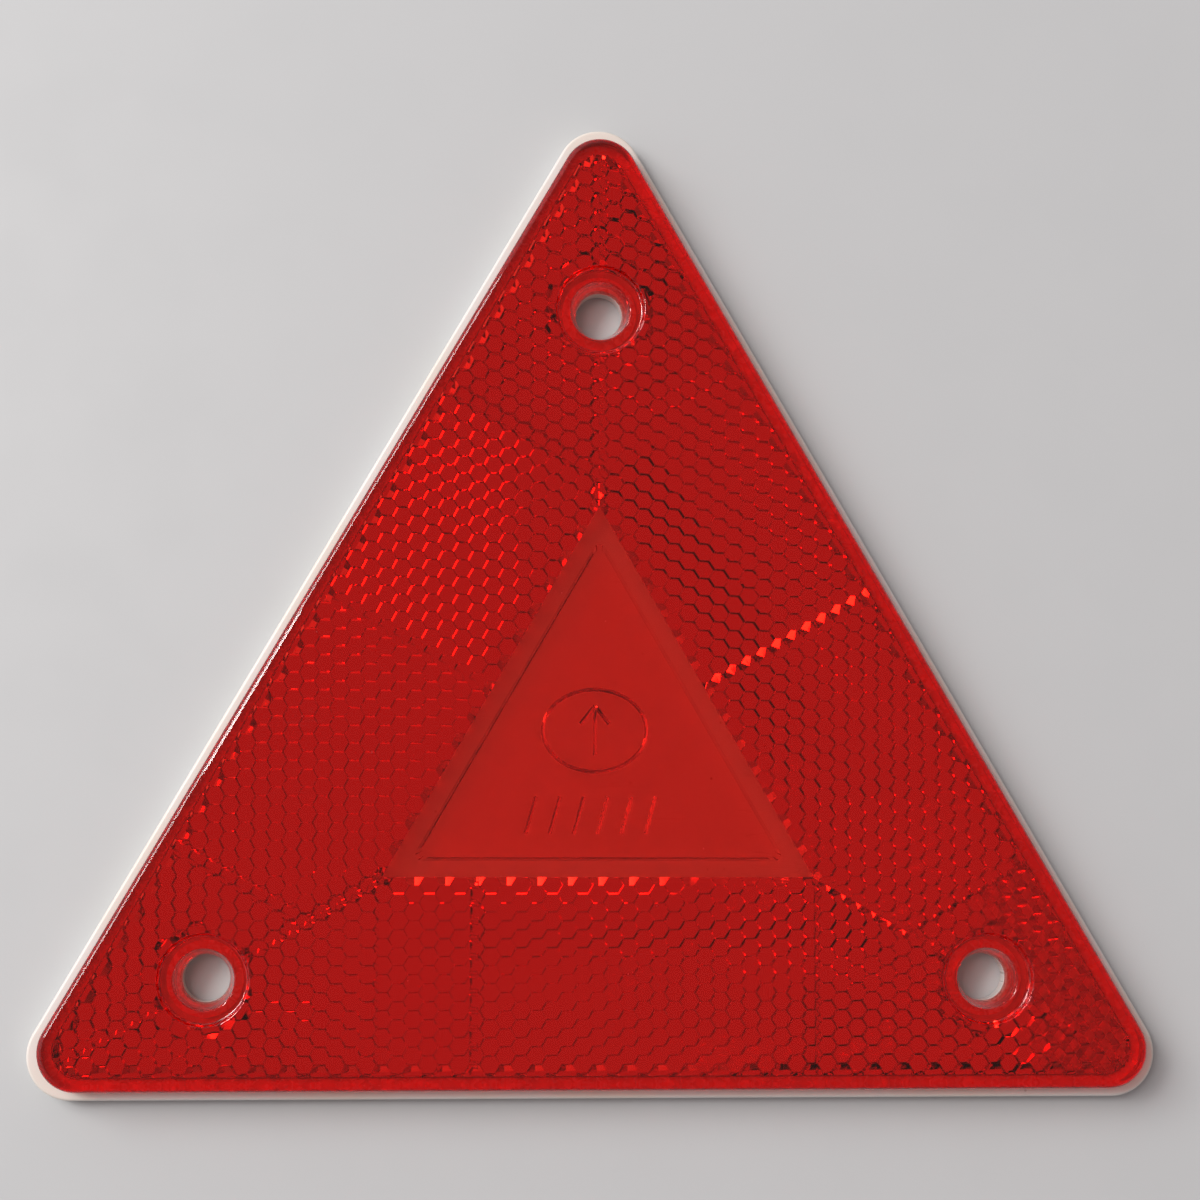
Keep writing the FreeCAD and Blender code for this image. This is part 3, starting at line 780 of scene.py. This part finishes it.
def table_material(finish):
    """Pale table top: almost plain, with a faint mottle in its colour and its gloss."""
    material, tree, shader, place = new_material("pale_table")
    wave = group_mask(tree, shared_group("Moulded surface", mould_group), place, "Wave")
    plain = Vector(finish.floor_colour)
    mottled = mixed(tree, stepped(tree, wave, 0.35, 0.7), plain, plain * 0.985)
    tree.links.new(mottled, shader.inputs["Base Color"])
    tree.links.new(stepped(tree, wave, 0.3, 0.7, 0.42, 0.5), shader.inputs["Roughness"])
    shader.inputs["IOR"].default_value = 1.4
    return material


# --- Pieces --------------------------------------------------------------------------------------

# How far the lens's feet sink into the weld beads, as the melted plastic does.
FUSED = 0.02


class ADD_OT_reflector_lens(bpy.types.Operator):
    """Make the red lens: front sheet, skirt, screw wells, window and prisms in one closed moulding"""

    bl_idname = "reflector.lens"
    bl_label = "Red lens"

    def execute(self, context):
        sizes = context.scene.reflector_lens
        field = PrismField(sizes)
        foot = LENS_FOOT - FUSED
        well_foot = WELL_FOOT - FUSED
        cavity = LENS_INSET + sizes.wall / MM
        back, pane = field.back, field.back - sizes.pane_depth / MM
        pane_edge = sizes.pane_inradius / MM
        pane_flat = pane_edge - (back - pane)
        window = [rounded_triangle(sizes.window_inradius / MM, sizes.window_corner / MM, 6),
                  rounded_triangle(pane_edge, sizes.window_corner / MM, 6),
                  rounded_triangle(pane_flat, sizes.window_corner / MM, 6)]
        rings = [RING_CENTRE + circle((0, 0), 1) * (np.array(RING_SIZE) - cut * STROKE) for cut in (0, 0.5, 1)]
        strokes = ARROW + BAR_ROW
        bars = [bar_corners(start, end, STROKE) for start, end in strokes]
        levels = np.array([foot, well_foot, back, pane, pane])

        def region_of(points):
            """Foot 0, well 1, plain back 2, pane 3, mark 4, and sectors from 5 up; nothing in the holes."""
            from_ring = (points - RING_CENTRE) / (np.array(RING_SIZE) - STROKE / 2)
            on_ring = abs(np.linalg.norm(from_ring, axis=1) - 1) * np.mean(RING_SIZE) < STROKE / 2
            on_mark = on_ring | np.any([in_bar(points, bar) for bar in bars], axis=0)
            inside = side_reach(points)[0] < pane_edge
            region = np.where(field.covers(points), field.sector(points) + FIRST_SECTOR, 2)
            region = np.where(inside, np.where(on_mark, 4, 3), region)
            region = np.where(inset_at(points) < cavity, 0, region)
            from_hole = hole_distance(points)
            region = np.where(from_hole < WELL_OUTER, 1, region)
            return np.where(from_hole < sizes.hole_radius / MM, -1, region)

        def height_of(region, middle, points):
            """The level of a plain region, the slope round the pane, the ridges of the mark and the prisms."""
            height = levels[np.minimum(region, len(levels) - 1)]
            edge = (region == 3) & (side_reach(middle)[0] > pane_flat)
            height[edge] += np.clip(side_reach(points[edge])[0] - pane_flat, 0, back - pane)
            on_mark = region == 4
            height[on_mark] -= sizes.mark_depth / MM * ridge_share(points[on_mark])
            prism = region >= FIRST_SECTOR
            height[prism] = field.height(region[prism] - FIRST_SECTOR, middle[prism], points[prism])
            return height

        def ridge_share(points):
            """How near each point is to the middle of a line of the mark: one on it, nought at its edge."""
            ring = np.linalg.norm((points - RING_CENTRE) / (np.array(RING_SIZE) - STROKE / 2), axis=1)
            off = abs(ring - 1) * np.mean(RING_SIZE)
            for start, end in np.array(strokes):
                run = end - start
                share = np.clip((points - start) @ run / (run @ run), 0, 1)
                off = np.minimum(off, np.linalg.norm(points - start - share[:, None] * run, axis=1))
            return np.clip(1 - 2 * off / STROKE, 0, 1)

        lines = [closed(outline(LENS_INSET)), closed(outline(cavity))]
        lines += [closed(line) for line in window + rings + bars] + [np.array(stroke) for stroke in strokes]
        for hole in HOLES:
            lines += [closed(circle(hole, WELL_OUTER)), closed(circle(hole, sizes.hole_radius / MM))]
        lines += list(field.lines())
        rear = stepped_surface(lines, region_of, height_of)

        bend = sizes.front_rounding / MM
        skirt = rounding(LENS_INSET + bend, LENS_FRONT - bend, bend, 180, 90)
        skirt = swept([(LENS_INSET, foot), *skirt])
        lip, fillet = 0.25, 0.45
        dish, well, hole_radius = sizes.dish_radius / MM, sizes.well_radius / MM, sizes.hole_radius / MM
        dish_floor = LENS_FRONT - sizes.dish_depth / MM
        profile = [*rounding(dish + lip, LENS_FRONT - lip, lip, 90, 180),
                   *rounding(dish - fillet, dish_floor + fillet, fillet, 0, -90),
                   *rounding(well + lip, dish_floor - lip, lip, 90, 180),
                   (hole_radius, well_foot)]
        wells = [turned(profile, hole) for hole in HOLES]
        front = flat_sheet(LENS_INSET + bend, LENS_FRONT, dish + lip)
        surface = joined([rear, skirt, front, *wells])
        finish = context.scene.reflector_finish
        make_piece("red_lens", surface, ["lens"], lens_material(finish))
        return {"FINISHED"}


SHEET_BORDER = 0.15


def flat_sheet(inset, height, hole_radius):
    """A flat face inside the shared outline at an inset, with a round opening at each screw hole.

    A narrow border along every edge takes up the turn of the normals, so the rest of the face reflects evenly.
    """
    lines = [closed(outline(inset + border)) for border in (0, SHEET_BORDER)]
    lines += [closed(circle(hole, hole_radius + border)) for hole in HOLES for border in (0, SHEET_BORDER)]
    return stepped_surface(
        lines,
        lambda points: np.where(hole_distance(points) < hole_radius, -1, 0),
        lambda region, middle, points: np.full(len(points), float(height)),
    )


class ADD_OT_reflector_plate(bpy.types.Operator):
    """Make the white back plate: floor, flange, locating rib, screw bosses and the ribbed rear"""

    bl_idname = "reflector.plate"
    bl_label = "White back plate"

    def execute(self, context):
        sizes = context.scene.reflector_plate
        hole = context.scene.reflector_lens.hole_radius / MM
        flange, top = sizes.flange_width / MM, sizes.flange_rounding / MM
        rib_outer = sizes.rib_inset / MM
        rib_inner = rib_outer + sizes.rib_width / MM
        rib_top = FLOOR + sizes.rib_height / MM
        low, inner = sizes.rear_rounding / MM, 0.12
        chamfer = sizes.hole_chamfer / MM

        front_lines = [closed(outline(inset)) for inset in (flange, rib_outer, rib_inner)]
        rear_lines = [closed(outline(inset, CORNER_RADIUS)) for inset in (low, sizes.rear_land / MM)]
        pad = sizes.rear_pad_radius / MM
        rib_ends = HOLES * (1 - (pad + hole) / 2 / HOLE_REACH)
        ribs = [bar_corners((0, 0), end, sizes.rear_rib_width / MM) for end in rib_ends]
        rear_lines += [closed(rib) for rib in ribs]
        for centre in HOLES:
            front_lines += [closed(circle(centre, radius)) for radius in (WELL_OUTER, hole)]
            rear_lines += [closed(circle(centre, radius)) for radius in (pad, hole + chamfer)]

        def front_region(points):
            """Floor 0, rib 1 and boss 2; nothing in the holes."""
            inset, from_hole = inset_at(points), hole_distance(points)
            region = np.where((inset > rib_outer) & (inset < rib_inner), 1, 0)
            region = np.where(from_hole < WELL_OUTER, 2, region)
            return np.where(from_hole < hole, -1, region)

        def rear_region(points):
            """Mounting face 0 and hollow 1; nothing in the holes."""
            from_hole = hole_distance(points)
            raised = (inset_at(points, CORNER_RADIUS) < sizes.rear_land / MM) | (from_hole < pad)
            raised |= np.any([in_bar(points, rib) for rib in ribs], axis=0)
            return np.where(from_hole < hole + chamfer, -1, np.where(raised, 0, 1))

        front_levels = np.array([FLOOR, rib_top, BOSS_TOP])
        rear_levels = np.array([0.0, sizes.rear_depth / MM])
        front = stepped_surface(front_lines, front_region, lambda region, middle, points: front_levels[region])
        rear = stepped_surface(rear_lines, rear_region, lambda region, middle, points: rear_levels[region])
        outside = [*rounding(low, low, low, 270, 180), *rounding(top, FLANGE_TOP - top, top, 180, 90)]
        inside = [*rounding(flange - inner, FLANGE_TOP - inner, inner, 90, 0), (flange, FLOOR)]
        families = [CORNER_RADIUS] * len(outside) + [FITTED_CORNER] * len(inside)
        rim = swept(outside + inside, families)
        bores = [turned([(hole + chamfer, 0), (hole, chamfer), (hole, BOSS_TOP)], centre) for centre in HOLES]
        surface = joined([front, rear, rim, *bores])
        finish = context.scene.reflector_finish
        make_piece("back_plate_moulding", surface, ["back_plate"], plate_material(finish))
        return {"FINISHED"}


class ADD_OT_reflector_welds(bpy.types.Operator):
    """Give the weld beads between the lens and the plate the look of melted flash"""

    bl_idname = "reflector.welds"
    bl_label = "Weld beads"

    def execute(self, context):
        material = bead_material(context.scene.reflector_finish)
        for name in WELD_NODES:
            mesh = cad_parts[name].data
            mesh.materials.clear()
            mesh.materials.append(material)
        return {"FINISHED"}


WELD_NODES = ("perimeter_weld", "hole_weld_top", "hole_weld_left", "hole_weld_right")


# Places and sizes of the table and the lamps are in metres, the camera's place and lens in millimetres, and its
# turn in degrees.
TABLE_SIDE = 2.4
WINDOW_PLACE, WINDOW_SIZE = (-1.02, 0.58, 1.05), (0.8, 0.8)
GAP_PLACE, GAP_SIZE = (-0.68, 0.37, 1.36), (0.16, 0.7)
GLOW_DIRECTION = (-0.75, 0.42, 0.51)
HORIZON_COLOUR = (0.93, 0.96, 1.0)
OVERHEAD_HEIGHTS = (0.78, 0.9)
CAMERA_PLACE, CAMERA_TURN = (-17.38, -9.25, 319.98), (5.514, -3.169, 0.408)
CAMERA_LENS, SENSOR_WIDTH = 68.35, 36


class ADD_OT_reflector_stage(bpy.types.Operator):
    """Make the pale table, the soft window light, the light of the room and the camera"""

    bl_idname = "reflector.stage"
    bl_label = "Table, light and camera"

    def execute(self, context):
        scene = context.scene
        finish = scene.reflector_finish
        half = TABLE_SIDE / 2
        corners = np.array([(-half, -half, 0), (half, -half, 0), (half, half, 0), (-half, half, 0)])
        mesh = bpy.data.meshes.new("table")
        mesh.from_pydata(corners.tolist(), [], [(0, 1, 2, 3)])
        table = bpy.data.objects.new("table", mesh)
        scene.collection.objects.link(table)
        mesh.materials.append(table_material(finish))

        soft_lamp("window_light", WINDOW_PLACE, WINDOW_SIZE, finish.window_power)
        soft_lamp("curtain_gap_light", GAP_PLACE, GAP_SIZE, finish.gap_power)
        scene.world = room_light(finish)
        scene.view_settings.view_transform = "Standard"

        view = bpy.data.cameras.new("camera")
        view.sensor_width, view.lens = SENSOR_WIDTH, CAMERA_LENS
        view.clip_start = 0.01
        camera = bpy.data.objects.new("camera", view)
        camera.location = np.array(CAMERA_PLACE) * MM
        turn = Euler(np.radians(CAMERA_TURN), "ZYX")
        camera.rotation_euler = turn.to_matrix().to_euler()
        scene.collection.objects.link(camera)
        scene.camera = camera
        return {"FINISHED"}


def soft_lamp(name, location, size, power):
    """A rectangular lamp that faces the middle of the part, its long side upright."""
    lamp = bpy.data.lights.new(name, "AREA")
    lamp.shape = "RECTANGLE"
    lamp.size, lamp.size_y = size
    lamp.energy = power
    lamp.color = (1.0, 0.985, 0.97)
    holder = bpy.data.objects.new(name, lamp)
    holder.location = location
    holder.rotation_euler = (-holder.location).to_track_quat("-Z", "Y").to_euler()
    bpy.context.scene.collection.objects.link(holder)


def room_light(finish):
    """Light of the room: slightly cool near the horizon, with a broad glow round the window, and dim overhead.

    The strength beside rises smoothly as the direction turns towards the window. It gives way to the even light
    from overhead as the direction's height goes from the first overhead height to the second.
    """
    world = bpy.data.worlds.new("room")
    world.use_nodes = True
    tree = world.node_tree
    direction = node(tree, "ShaderNodeTexCoord").outputs["Generated"]
    height = node(tree, "ShaderNodeSeparateXYZ", {0: direction}).outputs["Z"]
    window = node(tree, "ShaderNodeVectorMath", {0: direction, 1: GLOW_DIRECTION}, operation="DOT_PRODUCT")
    beside = stepped(tree, window.outputs["Value"], 0.3, 1.0, finish.sky_strength, finish.window_glow)
    overhead = stepped(tree, height, *OVERHEAD_HEIGHTS)
    strength = stepped(tree, overhead, 0.0, 1.0, beside, finish.overhead_strength)
    tint = mixed(tree, overhead, HORIZON_COLOUR, tuple(finish.overhead_colour))
    backdrop = tree.nodes["Background"]
    tree.links.new(tint, backdrop.inputs["Color"])
    tree.links.new(strength, backdrop.inputs["Strength"])
    return world


class VIEW3D_PT_reflector(bpy.types.Panel):
    """The maker's steps in order, with the sizes and colours that they use"""

    bl_label = "Triangular reflector"
    bl_idname = "VIEW3D_PT_reflector"
    bl_space_type = "VIEW_3D"
    bl_region_type = "UI"
    bl_category = "Reflector"

    def draw(self, context):
        for group in ("reflector_lens", "reflector_plate", "reflector_finish"):
            box = self.layout.box()
            settings = getattr(context.scene, group)
            for key in settings.__annotations__:
                box.prop(settings, key)
        for operator in OPERATORS:
            self.layout.operator(operator.bl_idname)


SETTINGS = {"reflector_lens": LensSizes, "reflector_plate": PlateSizes, "reflector_finish": Finish}
OPERATORS = (ADD_OT_reflector_stage, ADD_OT_reflector_plate, ADD_OT_reflector_welds, ADD_OT_reflector_lens)


def register():
    """Add the settings, operators and panel."""
    for kind in (*SETTINGS.values(), *OPERATORS, VIEW3D_PT_reflector):
        bpy.utils.register_class(kind)
    for name, kind in SETTINGS.items():
        setattr(bpy.types.Scene, name, bpy.props.PointerProperty(type=kind))


def unregister():
    """Take the settings, operators and panel away again."""
    for name in SETTINGS:
        delattr(bpy.types.Scene, name)
    for kind in reversed((*SETTINGS.values(), *OPERATORS, VIEW3D_PT_reflector)):
        bpy.utils.unregister_class(kind)


def main():
    """Register the add-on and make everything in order."""
    register()
    bpy.ops.reflector.stage()
    bpy.ops.reflector.plate()
    bpy.ops.reflector.welds()
    bpy.ops.reflector.lens()


if __name__ == "__main__":
    main()
